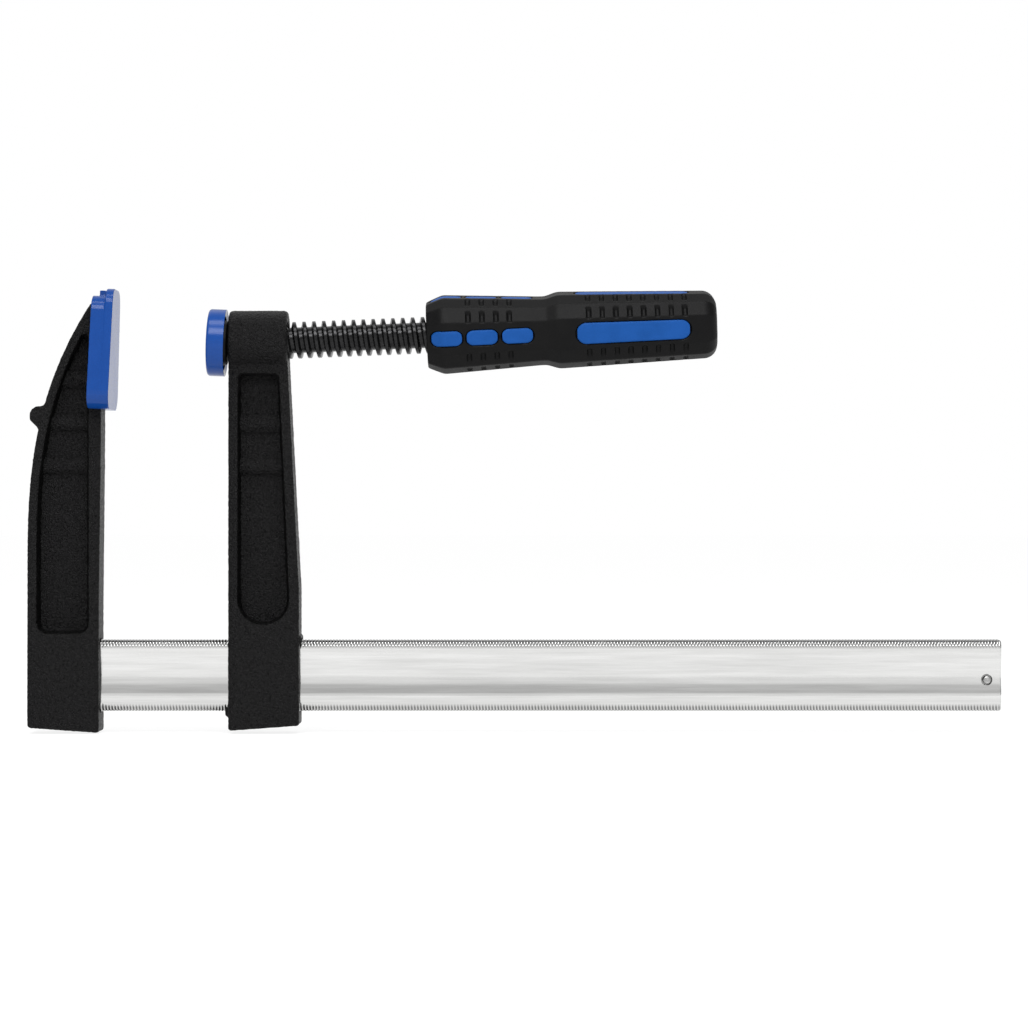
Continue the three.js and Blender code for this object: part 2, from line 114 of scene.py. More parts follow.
LONGEST_FILLET = 0.48  # a fillet takes at most this share of the edge beside it


def smoothstep(value):
    value = np.clip(value, 0, 1)
    return value * value * (3 - 2 * value)


def frame_matrix(origin, x_axis):
    """A frame with the given X axis and the part's Y axis; origin in metres."""
    x_axis = Vector(x_axis).normalized()
    y_axis = Vector((0, 1, 0))
    turn = Matrix((x_axis, y_axis, x_axis.cross(y_axis))).transposed()
    return Matrix.Translation(origin) @ turn.to_4x4()


def joint(name):
    return next(item for item in frame["joints"] if item["name"] == name)


def mount(name):
    return next(item for item in frame["record"]["mounts"] if item["name"] == name)


def moved(x, y=0, z=0):
    return Matrix.Translation((x * MM, y * MM, z * MM))


SCREW_AXIS = -Vector(joint("spindle_turn")["axis"])
SCREW = frame_matrix(Vector(joint("spindle_turn")["pos_m"]) - BALL_X * MM * SCREW_AXIS, SCREW_AXIS)
HANDLE = SCREW @ moved(HANDLE_FRONT) @ Matrix.Rotation(HANDLE_ROLL, 4, "X")
PAD = frame_matrix(mount("moving_jaw")["pos_m"], -Vector(mount("moving_jaw")["axis"]))


def make_piece(name, vertices, faces, place=Matrix(), sharp=None):
    """An object from points in millimetres, with its normals outward."""
    mesh = bpy.data.meshes.new(name)
    mesh.from_pydata((np.asarray(vertices, float) * MM).tolist(), [], faces)
    mesh.validate()
    mesh.transform(place)
    tidy = bmesh.new()
    tidy.from_mesh(mesh)
    if tidy.calc_volume(signed=True) < 0:
        bmesh.ops.reverse_faces(tidy, faces=tidy.faces)
    tidy.to_mesh(mesh)
    tidy.free()
    mesh.shade_smooth()
    if sharp:
        mesh.set_sharp_from_angle(angle=math.radians(sharp))
    made = bpy.data.objects.new(name, mesh)
    bpy.context.scene.collection.objects.link(made)
    return made


def wrapped(rows, hollow=False):
    """Vertices and faces from rows of points, each row a closed loop.
    The last row joins the first in a hollow piece; otherwise each end closes on its middle."""
    rows = np.asarray(rows, float)
    count, columns, _ = rows.shape
    vertices = rows.reshape(-1, 3)
    index = np.arange(count * columns).reshape(count, columns)
    after = np.roll(index, -1, axis=1)
    last = count if hollow else count - 1
    following = np.roll(index, -1, axis=0)
    opposite = np.roll(following, -1, axis=1)
    quads = np.stack([index[:last], after[:last], opposite[:last], following[:last]], axis=-1)
    faces = quads.reshape(-1, 4).tolist()
    if not hollow:
        vertices = np.vstack([vertices, rows[0].mean(axis=0), rows[-1].mean(axis=0)])
        start, end = count * columns, count * columns + 1
        faces += [[start, after[0, j], index[0, j]] for j in range(columns)]
        faces += [[end, index[-1, j], after[-1, j]] for j in range(columns)]
    return vertices, faces


def ring(x, radius, columns=96):
    """A row of points round the X axis. The angle runs from +Y to +Z, and the radius may differ round it."""
    angle = np.arange(columns) * TAU / columns
    radius = np.broadcast_to(radius, angle.shape)
    return np.stack([np.full(columns, float(x)), radius * np.cos(angle), radius * np.sin(angle)], axis=-1)


def rounded(corners, steps=4):
    """Points of an open profile from corners (x, radius, fillet)."""
    points = []
    for i, (x, y, fillet) in enumerate(corners):
        at_end = i in (0, len(corners) - 1)
        if fillet == 0 or at_end:
            points.append((x, y))
            continue
        corner = np.array([x, y])
        before = np.array(corners[i - 1][:2]) - corner
        after = np.array(corners[i + 1][:2]) - corner
        room_before = LONGEST_FILLET * np.linalg.norm(before)
        room_after = LONGEST_FILLET * np.linalg.norm(after)
        start = corner + before / np.linalg.norm(before) * min(fillet, room_before)
        end = corner + after / np.linalg.norm(after) * min(fillet, room_after)
        for t in np.linspace(0, 1, steps + 1):
            points.append(tuple((1 - t) ** 2 * start + 2 * t * (1 - t) * corner + t ** 2 * end))
    return points


def turned(name, profile, place, columns=128, sharp=None):
    return make_piece(name, *wrapped([ring(x, r, columns) for x, r in profile]), place, sharp)


def finish_piece(piece, material, body, node):
    piece.data.materials.clear()
    piece.data.materials.append(material)
    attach(piece, body)
    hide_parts(node)


# ---- materials ----

COLOUR_SPREAD = (0.36, 0.64)  # the noise values that give the dark and the light colour
GLOSS_SPREAD = (0.35, 0.65)   # and those that give the two roughnesses


def grained(name, dark, light, rough, bump, grain=900, patches=60, metallic=0.0, specular=0.5,
            stretch=(1, 1, 1), detail=4.0, shade=None):
    """A material with slow colour patches, and grain in its colour, roughness and relief.
    grain and patches are in cells per metre; bump is (strength, height in metres).
    shade is (point attribute, grey), for painted shade: the colour goes towards that grey as the attribute goes
    from 0 to 1."""
    material = bpy.data.materials.new(name)
    material.use_nodes = True
    nodes, links = material.node_tree.nodes, material.node_tree.links
    shader = nodes["Principled BSDF"]
    shader.inputs["Metallic"].default_value = metallic
    shader.inputs["Specular IOR Level"].default_value = specular
    where = nodes.new("ShaderNodeTexCoord")
    scaled = nodes.new("ShaderNodeMapping")
    scaled.inputs["Scale"].default_value = stretch
    links.new(where.outputs["Object"], scaled.inputs["Vector"])

    def noise_node(scale, octaves):
        node = nodes.new("ShaderNodeTexNoise")
        node.inputs["Scale"].default_value = scale
        node.inputs["Detail"].default_value = octaves
        node.inputs["Roughness"].default_value = 0.6
        links.new(scaled.outputs["Vector"], node.inputs["Vector"])
        return node.outputs["Fac"]

    slow = noise_node(patches, 3)
    fine = noise_node(grain, detail)
    both = nodes.new("ShaderNodeMath")
    both.operation = "MULTIPLY_ADD"
    both.inputs[1].default_value = 0.5
    links.new(slow, both.inputs[0])
    half = nodes.new("ShaderNodeMath")
    half.operation = "MULTIPLY"
    half.inputs[1].default_value = 0.5
    links.new(fine, half.inputs[0])
    links.new(half.outputs[0], both.inputs[2])

    colour = nodes.new("ShaderNodeValToRGB")
    colour.color_ramp.elements[0].position = COLOUR_SPREAD[0]
    colour.color_ramp.elements[0].color = (*dark, 1)
    colour.color_ramp.elements[1].position = COLOUR_SPREAD[1]
    colour.color_ramp.elements[1].color = (*light, 1)
    links.new(both.outputs[0], colour.inputs["Fac"])
    surface_colour = colour.outputs["Color"]
    # Painted shade: the colour goes towards a dark grey where the point attribute is set, in place of the shade in
    # hollows.
    if shade:
        recess = nodes.new("ShaderNodeAttribute")
        recess.attribute_name = shade[0]
        darker = nodes.new("ShaderNodeMix")
        darker.data_type = "RGBA"
        links.new(recess.outputs["Fac"], darker.inputs["Factor"])
        links.new(surface_colour, darker.inputs["A"])
        darker.inputs["B"].default_value = (shade[1], shade[1], shade[1], 1)
        surface_colour = darker.outputs["Result"]
    links.new(surface_colour, shader.inputs["Base Color"])

    gloss = nodes.new("ShaderNodeMapRange")
    gloss.inputs["From Min"].default_value = GLOSS_SPREAD[0]
    gloss.inputs["From Max"].default_value = GLOSS_SPREAD[1]
    gloss.inputs["To Min"].default_value = rough[0]
    gloss.inputs["To Max"].default_value = rough[1]
    links.new(both.outputs[0], gloss.inputs["Value"])
    links.new(gloss.outputs["Result"], shader.inputs["Roughness"])

    relief = nodes.new("ShaderNodeBump")
    relief.inputs["Strength"].default_value = bump[0]
    relief.inputs["Distance"].default_value = bump[1]
    links.new(fine, relief.inputs["Height"])
    links.new(relief.outputs["Normal"], shader.inputs["Normal"])
    return material


# The bar's tooth roots and the stop pin's countersink get painted shade, towards a grey of 0.13.
BRIGHT_STEEL = grained(
    "drawn_bright_steel", (0.60, 0.60, 0.592), (0.75, 0.75, 0.742), (0.08, 0.15), (0.15, 0.00002),
    grain=700, patches=70, metallic=1.0, stretch=(0.04, 1, 1), shade=("recess", 0.13),
)
PIN_STEEL = grained(
    "pin_steel", (0.22, 0.22, 0.22), (0.62, 0.62, 0.61), (0.25, 0.45), (0.6, 0.0001),
    grain=1500, patches=600, metallic=1.0,
)
SPRING_STEEL = grained(
    "spring_wire", (0.32, 0.33, 0.35), (0.5, 0.51, 0.53), (0.22, 0.34), (0.3, 0.00002),
    grain=3000, patches=400, metallic=1.0,
)
# The pocket walls of both arms get painted shade, towards a grey of 0.0002.
CASTING = grained(
    "black_powder_coated_casting", (0.0001, 0.0001, 0.0002), (0.0082, 0.0079, 0.0083), (0.25, 0.50),
    (1.0, 0.0012), grain=1300, patches=900, specular=0.135, detail=2.0, shade=("recess", 0.0002),
)
BLACK_STEEL = grained(
    "black_oxide_steel", (0.012, 0.012, 0.0125), (0.034, 0.034, 0.035), (0.18, 0.24), (0.3, 0.00003),
    grain=1600, patches=150, metallic=0.9,
)
BLACK_COAT = grained(
    "black_coated_steel", (0.002, 0.002, 0.0022), (0.005, 0.005, 0.0052), (0.35, 0.5), (0.3, 0.00004),
    grain=1600, patches=150, specular=0.15,
)
BLUE_CAP = grained(
    "blue_moulded_plastic", (0.0020, 0.042, 0.215), (0.0035, 0.052, 0.26), (0.15, 0.21), (0.06, 0.00003),
    grain=1800, patches=60, specular=0.27,
)
BLUE_INLAY = grained(
    "blue_soft_plastic", (0.004, 0.060, 0.25), (0.008, 0.076, 0.31), (0.42, 0.55), (0.2, 0.00004),
    grain=3000, patches=120, specular=0.12,
)
RUBBER = grained(
    "black_soft_rubber", (0.0018, 0.0018, 0.002), (0.0044, 0.0043, 0.0044), (0.40, 0.55), (0.45, 0.00008),
    grain=2400, patches=110, specular=0.12,
)
CORE_PLASTIC = grained(
    "black_hard_plastic", (0.004, 0.004, 0.0045), (0.009, 0.009, 0.0095), (0.3, 0.42), (0.15, 0.00003),
    grain=2400, patches=120, specular=0.3,
)


# ---- rail and its stop pin ----

RAIL_LOW, RAIL_HIGH = (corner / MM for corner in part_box("rail"))
TOOTH_PITCH = 1.25
TOOTH_DEPTH = 0.42
TOOTH_HEIGHT = 2.9
TOOTH_SLANT = 0.35
TOOTH_SHARPNESS = 0.8
TOOTH_FADE = 0.9
TEETH_FROM_END = 1.2
STEPS_PER_TOOTH = 6
EDGE_RISE = 3.2
EDGE_HALF_FLAT = 1.8
GROOVE_HALF_HEIGHT = 7.2
GROOVE_DEPTH = 0.8
END_CHAMFER = 0.7
END_INSET = 0.97
RAIL_SHARP_ANGLE = 50
PIN_HEAD_RADIUS = 1.5
PIN_HOLE_CLEARANCE = 0.15
COUNTERSINK_RADIUS = 2.3
COUNTERSINK_DEPTH = 1.6
PIN_SHOULDER_Y = 1.6


def rail_section():
    """The bar's section as (y, z) about its middle."""
    half_thickness = RAIL_HIGH.y
    half_height = (RAIL_HIGH.z - RAIL_LOW.z) / 2
    quarter = [(0.6 * k, half_height) for k in range(3)]
    for t in np.linspace(0, 1, 9):
        y = (1 - t) ** 2 * EDGE_HALF_FLAT + 2 * t * (1 - t) * half_thickness + t ** 2 * half_thickness
        quarter.append((y, half_height - EDGE_RISE * t ** 2))
    for z in np.linspace(half_height - EDGE_RISE - 0.6, GROOVE_HALF_HEIGHT, 4):
        quarter.append((half_thickness, z))
    for z in np.linspace(GROOVE_HALF_HEIGHT, 0, 11)[1:]:
        quarter.append((half_thickness - GROOVE_DEPTH * (1 - (z / GROOVE_HALF_HEIGHT) ** 2), z))
    right = quarter + [(y, -z) for y, z in quarter[-2::-1]]
    left = [(-y, -z) for y, z in right[1:-1]]
    return np.array(right + left)


def make_rail():
    section = rail_section()
    half_height = (RAIL_HIGH.z - RAIL_LOW.z) / 2
    middle_z = (RAIL_HIGH.z + RAIL_LOW.z) / 2
    along = np.roll(section, -1, axis=0) - np.roll(section, 1, axis=0)
    inward = np.column_stack([-along[:, 1], along[:, 0]])
    inward *= -np.sign(np.sum(inward * section, axis=1))[:, None]
    inward /= np.linalg.norm(inward, axis=1)[:, None]
    to_edge = half_height - np.abs(section[:, 1])
    weight = smoothstep((TOOTH_HEIGHT - to_edge) / TOOTH_FADE)
    slant = TOOTH_SLANT * to_edge / TOOTH_HEIGHT
    stations = np.arange(RAIL_LOW.x, RAIL_HIGH.x, TOOTH_PITCH / STEPS_PER_TOOTH)
    stations[-1] = RAIL_HIGH.x
    rows, shades = [], []
    for x in stations:
        from_end = min(x - RAIL_LOW.x, RAIL_HIGH.x - x)
        wave = (0.5 - 0.5 * np.cos(TAU * (x + slant) / TOOTH_PITCH)) ** TOOTH_SHARPNESS
        depth = weight * wave * smoothstep(from_end / TEETH_FROM_END)
        points = section + inward * (TOOTH_DEPTH * depth)[:, None]
        cut = max(0.0, END_CHAMFER - from_end)
        points = points * (1 - cut / np.array([1.6 * RAIL_HIGH.y, half_height]))
        rows.append(np.column_stack([np.full(len(section), x), points[:, 0], points[:, 1] + middle_z]))
        shades.append(depth)
    # A loop just inside each end's outline keeps the shading of the end face even.
    for end, place in ((0, 0), (-1, len(rows) + 1)):
        middle = rows[end].mean(axis=0)
        rows.insert(place, middle + (rows[end] - middle) * END_INSET)
        shades.insert(place, np.zeros(len(section)))
    vertices, faces = wrapped(rows)
    rail = make_piece("steel_rail", vertices, faces, sharp=RAIL_SHARP_ANGLE)
    # Painted shade in the tooth roots, as dark as each tooth is deep.
    recess = rail.data.attributes.new("recess", "FLOAT", "POINT")
    recess.data.foreach_set("value", np.append(np.concatenate(shades), [0, 0]).astype(np.float32))

    pin_low, pin_high = (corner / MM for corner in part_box("rail_stop_pin"))
    pin_x, pin_z = (pin_low.x + pin_high.x) / 2, (pin_low.z + pin_high.z) / 2
    pin_radius = (pin_high.x - pin_low.x) / 2
    across = moved(pin_x, 0, pin_z) @ Matrix.Rotation(math.pi / 2, 4, "Z")
    reach, sink = 6, RAIL_HIGH.y - COUNTERSINK_DEPTH
    hole_radius = pin_radius + PIN_HOLE_CLEARANCE
    hole = turned("hole_cutter", [
        (-reach, 0.01), (-reach, COUNTERSINK_RADIUS), (-sink, COUNTERSINK_RADIUS), (-sink, hole_radius),
        (sink, hole_radius), (sink, COUNTERSINK_RADIUS), (reach, COUNTERSINK_RADIUS), (reach, 0.01),
    ], across, columns=48)
    cut_by = rail.modifiers.new("hole", "BOOLEAN")
    cut_by.operation = "DIFFERENCE"
    cut_by.solver = "EXACT"
    cut_by.object = hole
    rail.data = applied(rail, "steel_rail")
    rail.modifiers.clear()
    bpy.data.objects.remove(hole)
    rail.data.set_sharp_from_angle(angle=math.radians(RAIL_SHARP_ANGLE))
    # The countersink round the stop pin gets painted shadow as well.
    points = vertex_points(rail.data)
    in_hole = np.hypot(points[:, 0] - pin_x, points[:, 2] - pin_z) < COUNTERSINK_RADIUS + 0.05
    in_hole &= np.abs(points[:, 1]) < RAIL_HIGH.y - GROOVE_DEPTH - 0.4
    recess = rail.data.attributes["recess"]
    values = np.empty(len(points), np.float32)
    recess.data.foreach_get("value", values)
    recess.data.foreach_set("value", np.maximum(values, in_hole).astype(np.float32))
    finish_piece(rail, BRIGHT_STEEL, "rail_and_fixed_arm", "rail")

    half = pin_high.y - 0.5
    profile = rounded([
        (-half, 0.01, 0), (-half + 0.2, PIN_HEAD_RADIUS, 0.45), (-PIN_SHOULDER_Y, PIN_HEAD_RADIUS, 0.15),
        (-PIN_SHOULDER_Y, pin_radius, 0.15), (PIN_SHOULDER_Y, pin_radius, 0.15),
        (PIN_SHOULDER_Y, PIN_HEAD_RADIUS, 0.15), (half - 0.2, PIN_HEAD_RADIUS, 0.45), (half, 0.01, 0),
    ])
    pin = turned("stop_pin", profile, across, columns=48, sharp=40)
    finish_piece(pin, PIN_STEEL, "rail_and_fixed_arm", "rail_stop_pin")


def vertex_points(mesh):
    """The mesh's points, in millimetres."""
    points = np.empty(len(mesh.vertices) * 3)
    mesh.vertices.foreach_get("co", points)
    return points.reshape(-1, 3) / MM


def applied(source, name):
    """The mesh of an object with its modifiers applied."""
    graph = bpy.context.evaluated_depsgraph_get()
    mesh = bpy.data.meshes.new_from_object(source.evaluated_get(graph))
    mesh.name = name
    return mesh


# ---- castings and moulded caps, softened from the CAD solid ----

CASTING_VOXEL = 0.38
CAP_VOXEL = 0.25
PEBBLE_HEIGHT = 0.12
PEBBLE_SIZE = 1.1
CAST_SWELL = 0.1
# Where the painted shade goes on the pocket walls: how far in from the outline, how deep, and how steep a wall
# must be.
POCKET_EDGE = 1.4
POCKET_DEPTH = 0.3
POCKET_ABOVE_LOW = 2
POCKET_LEVEL_HEIGHT = 0.5
WALL_FACING = 0.88
WALL_FADE = 0.35
FIXED_POCKET_TOP = -4
SLIDING_POCKET_TOP = -18


def softened(name, node, voxel, smooth, extras=(), cast_skin=False):
    """The CAD solid with rounded edges and corners: merged with the extra closed pieces, meshed evenly
    and smoothed. A cast skin is uneven, and stands out a little to make up for the smoothing."""
    mesh = frame["nodes"][node].data.copy()
    blank = bpy.data.objects.new(name, mesh)
    bpy.context.scene.collection.objects.link(blank)
    joined = bmesh.new()
    joined.from_mesh(mesh)
    bmesh.ops.remove_doubles(joined, verts=joined.verts, dist=1e-7)
    for extra in extras:
        joined.from_mesh(extra.data)
        bpy.data.objects.remove(extra)
    joined.to_mesh(mesh)
    joined.free()
    even = blank.modifiers.new("even", "REMESH")
    even.mode = "VOXEL"
    even.voxel_size = voxel * MM
    soft = blank.modifiers.new("soft", "SMOOTH")
    soft.factor = 0.5
    soft.iterations = smooth
    blank.data = applied(blank, name)
    blank.modifiers.clear()
    mesh = blank.data
    if cast_skin:
        count = len(mesh.vertices)
        points = np.empty(count * 3)
        normals = np.empty(count * 3)
        mesh.vertices.foreach_get("co", points)
        mesh.vertex_normals.foreach_get("vector", normals)
        scale = 1 / (PEBBLE_SIZE * MM)
        lift = np.array([noise.noise(Vector(point) * scale) for point in points.reshape(-1, 3)])
        rise = (lift[:, None] * PEBBLE_HEIGHT + CAST_SWELL) * MM
        points = points.reshape(-1, 3) + normals.reshape(-1, 3) * rise
        mesh.vertices.foreach_set("co", points.reshape(-1))
    mesh.shade_smooth()
    return blank


def paint_pocket_wall_shade(casting, node, top):
    """Marks the walls of the pocket, below the height top, for painted shade: the casting's colour goes darker
    there, in place of the shade on the walls.
    """
    mesh = casting.data
    points = vertex_points(mesh)
    normals = np.empty(len(points) * 3)
    mesh.vertex_normals.foreach_get("vector", normals)
    facing = np.abs(normals.reshape(-1, 3)[:, 1])
    x, y, z = points.T
    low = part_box(node)[0] / MM
    level = ((z - z.min()) / POCKET_LEVEL_HEIGHT).astype(int)
    # The least x, -x and -|y| at each level give the casting's outline there.
    extremes = []
    for values in (x, -x, -np.abs(y)):
        least = np.full(level.max() + 1, np.inf)
        np.minimum.at(least, level, values)
        extremes.append(least[level])
    inside = (x - extremes[0] > POCKET_EDGE) & (-x - extremes[1] > POCKET_EDGE)
    inside &= np.abs(y) < -extremes[2] - POCKET_DEPTH
    inside &= (z > low.z + POCKET_ABOVE_LOW) & (z < top)
    recess = mesh.attributes.new("recess", "FLOAT", "POINT")
    marked = smoothstep((WALL_FACING - facing) / WALL_FADE) * inside
    recess.data.foreach_set("value", marked.astype(np.float32))


def thread_radius(x, angle, clearance=0.0):
    """The trapezoidal thread's radius; right-handed, with the angle from +Y to +Z."""
    turns = x / PITCH - angle / TAU
    from_crest = np.abs(turns - np.round(turns)) * PITCH
    share = np.clip((CREST_HALF + FLANK + clearance - from_crest) / FLANK, 0, 1)
    share = 0.5 * share + 0.5 * smoothstep(share)
    return ROOT_RADIUS + clearance + (THREAD_RADIUS - ROOT_RADIUS) * share


def threaded_sleeve():
    """The thread inside the sliding arm's boss, as a closed sleeve that overlaps its wall."""
    columns = 96
    angle = np.arange(columns) * TAU / columns
    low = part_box("sliding_arm")[0] / MM
    first, last = low.x + 2.6, 69.6
    # Known fault: the cast skin is added to the merged casting, so it stands out into this clearance too,
    # and in places the boss overlaps the screw by about 0.03 mm.
    clearance = 0.3
    lead_in, lead_in_rise = 2.2, 2.6
    outer = 9.2
    rows = [ring(first, outer, columns)]
    for x in np.arange(first, last, 0.25):
        from_end = min(x - first, last - x)
        opened = THREAD_RADIUS + 0.5 - from_end * lead_in_rise / lead_in
        rows.append(ring(x, np.maximum(thread_radius(x, angle, clearance), opened), columns))
    rows.append(ring(last, outer, columns))
    return make_piece("boss_thread", *wrapped(rows, hollow=True), SCREW)


def make_arms():
    fixed = softened("fixed_arm_casting", "fixed_arm", CASTING_VOXEL, 4, cast_skin=True)
    paint_pocket_wall_shade(fixed, "fixed_arm", FIXED_POCKET_TOP)
    finish_piece(fixed, CASTING, "rail_and_fixed_arm", "fixed_arm")
    thread = [threaded_sleeve()]
    sliding = softened("sliding_arm_casting", "sliding_arm", CASTING_VOXEL, 3, thread, cast_skin=True)
    paint_pocket_wall_shade(sliding, "sliding_arm", SLIDING_POCKET_TOP)
    finish_piece(sliding, CASTING, "sliding_arm", "sliding_arm")
    cap = softened("fixed_jaw_plastic_cap", "fixed_jaw_cap", CAP_VOXEL, 3)
    finish_piece(cap, BLUE_CAP, "rail_and_fixed_arm", "fixed_jaw_cap")


# ---- swivel pad ----

def make_pad():
    cap_profile = rounded([
        (0.0, 0.01, 0), (0.02, 9, 2.5), (0.3, 12.9, 0.6), (1.0, 13.55, 0.6), (7.4, 13.55, 0.3),
        (6.75, 10.9, 0.15), (6.4, 10.9, 0.1), (6.4, 11.7, 0.2), (1.6, 11.7, 0.4), (1.6, 0.01, 0),
    ], steps=6)
    cap = turned("moving_jaw_plastic_cap", cap_profile, PAD, columns=160, sharp=60)
    finish_piece(cap, BLUE_CAP, "swivel_pad", "moving_jaw_cap")

    socket_radius = BALL_RADIUS + 0.3
    socket = [
        (BALL_IN_PAD - socket_radius * math.cos(angle), max(0.01, socket_radius * math.sin(angle)))
        for angle in np.linspace(math.pi / 2, 0, 14)
    ]
    outside = rounded([
        (1.9, 0.01, 0), (1.9, 11.4, 0.4), (6.0, 11.4, 0.4), (6.0, 9.2, 0.3), (8.2, 8.8, 0.5),
        (8.2, 5.6, 0.3), (12.2, 5.6, 0.4), (12.2, 3.3, 0.3), (11.5, 3.3, 0.15), (11.5, 4.6, 0.15),
        (7.4, 4.6, 0.1), (7.1, 4.3, 0),
    ], steps=5)
    plate = turned("swivel_socket_plate", outside + socket[1:], PAD, columns=128, sharp=50)
    finish_piece(plate, BLACK_COAT, "swivel_pad", "swivel_plate")


def make_snap_ring():
    """A wire ring with a gap, its ends rounded."""
    wire, mean, centre = 0.5, 3.65, BALL_X + 3.3
    gap = math.radians(22)
    steps, end_steps = 72, 3
    rows = []
    for t in np.linspace(0, 1, steps + 1):
        around = gap / 2 + t * (TAU - gap)
        from_end = min(t, 1 - t) * steps
        radius = wire
        if from_end < end_steps:
            radius = wire * math.sqrt(1 - (1 - from_end / end_steps) ** 2 * 0.95)
        direction = np.array([0, math.cos(around), math.sin(around)])
        turn = np.arange(16) * TAU / 16
        across = np.outer(mean + radius * np.cos(turn), direction)
        rows.append(across + np.outer(centre + radius * np.sin(turn), [1, 0, 0]))
    clip = make_piece("pad_retaining_wire", *wrapped(rows), SCREW)
    finish_piece(clip, SPRING_STEEL, "screw_carrier", "pad_snap_ring")


# ---- spindle ----

def make_spindle():
    columns = 96
    angle = np.arange(columns) * TAU / columns
    neck_angle = math.asin(NECK_RADIUS / BALL_RADIUS)
    rows = [
        ring(BALL_X + BALL_RADIUS * math.cos(a), max(0.02, BALL_RADIUS * math.sin(a)), columns)
        for a in np.linspace(math.pi, neck_angle, 26)
    ]
    rows += [ring(x, NECK_RADIUS, columns) for x in np.linspace(BALL_X + 3.4, THREAD_START - 0.4, 5)]
    rows.append(ring(THREAD_START - 0.12, NECK_RADIUS + 0.12, columns))
    rows.append(ring(THREAD_START, NECK_RADIUS + 0.4, columns))
    end = HANDLE_FRONT + 0.9
    spacing = 0.16
    stations = np.linspace(THREAD_START, end, round((end - THREAD_START) / spacing))
    for x in stations:
        chamfer = START_RADIUS + (x - THREAD_START)
        rows.append(ring(x, np.minimum(thread_radius(x, angle), chamfer), columns))
    shank_end = HANDLE_FRONT + SHANK_END
    rows += [ring(x, r, columns) for x, r in rounded([
        (end, SHANK_RADIUS, 0), (end + 0.01, SHANK_RADIUS, 0), (shank_end - 1, SHANK_RADIUS, 0.3),
        (shank_end, SHANK_RADIUS - 1, 0.3), (shank_end, 0.02, 0),
    ])]
    spindle = make_piece("threaded_spindle", *wrapped(rows), SCREW, sharp=55)
    finish_piece(spindle, BLACK_STEEL, "spindle", "spindle")


# ---- handle ----

def from_land(angle):
    """The angle from the middle of the nearest land, with its sign. The angle is measured from +Z."""
    quarter = math.pi / 2
    return angle - quarter * np.round(angle / quarter)


def sharp_section(angle):
    away = np.abs(from_land(angle))
    facet = math.cos(FACET_ANGLE - LAND_HALF_ANGLE) / math.cos(LAND_HALF_ANGLE) / np.cos(away - FACET_ANGLE)
    return np.where(away <= LAND_HALF_ANGLE, 1 / np.cos(away), facet)


def section_factor(angle):
    """The four-sided section, with its creases a little rounded."""
    spread = np.radians([-1.6, -0.8, 0, 0.8, 1.6])
    return np.mean([sharp_section(angle + step) * np.cos(step) for step in spread], axis=0)


def grip_radius(s):
    """The distance from the axis to a land, at s from the front of the grip."""
    rear_start = HANDLE_LENGTH - GRIP_END_ROUND
    knots = GRIP_KNOTS + [(rear_start, GRIP_REAR_RADIUS)]
    position, radius = zip(*knots)
    samples = [np.interp(s + step, position, radius) for step in (-0.9, -0.45, 0, 0.45, 0.9)]
    return np.mean(samples, axis=0)


def inlay_distance(inlay, s, t, growth=0.0):
    """How far (s, t) lies outside an inlay's rounded outline; negative inside."""
    start, end, front_width, back_width = INLAYS[inlay]
    start, end = start - growth, end + growth
    front, back = front_width / 2 + growth, back_width / 2 + growth
    share = np.clip((s - start) / (end - start), 0, 1)
    half = front + (back - front) * share
    middle = np.clip(s, start + front, end - back)
    return np.hypot(s - middle, t) - half


FRONT_SLOTS = [16.9, 22.5, 28.1, 33.6]
REAR_SLOTS = [65.3 + 5.54 * k for k in range(8)]
SLOT_ANGLE = math.radians(31)
SLOT_HALF_LENGTH = 2.6
SLOT_HALF_WIDTH = 1.0
SLOT_DEPTH = 0.95
SLOT_END_SLOPE = 1.5


def grip_cuts(s, angle, radius):
    """How deep the slots and the inlay recesses cut into the grip at each point."""
    signed = from_land(angle)
    t = radius * np.tan(signed)
    depth = np.zeros_like(s)
    edge_width = 0.3
    for inlay in INLAYS:
        away = inlay_distance(inlay, s, t, INLAY_GAP)
        depth = np.maximum(depth, INLAY_RECESS * smoothstep(0.5 - away / edge_width))
    along = np.abs(np.abs(signed) - SLOT_ANGLE) * radius
    to_end = smoothstep((SLOT_HALF_LENGTH - along) / SLOT_END_SLOPE)
    for slot in FRONT_SLOTS + REAR_SLOTS:
        to_side = np.clip(1 - ((s - slot) / SLOT_HALF_WIDTH) ** 2, 0, 1) ** 0.4
        depth = np.maximum(depth, SLOT_DEPTH * to_side * to_end)
    return depth


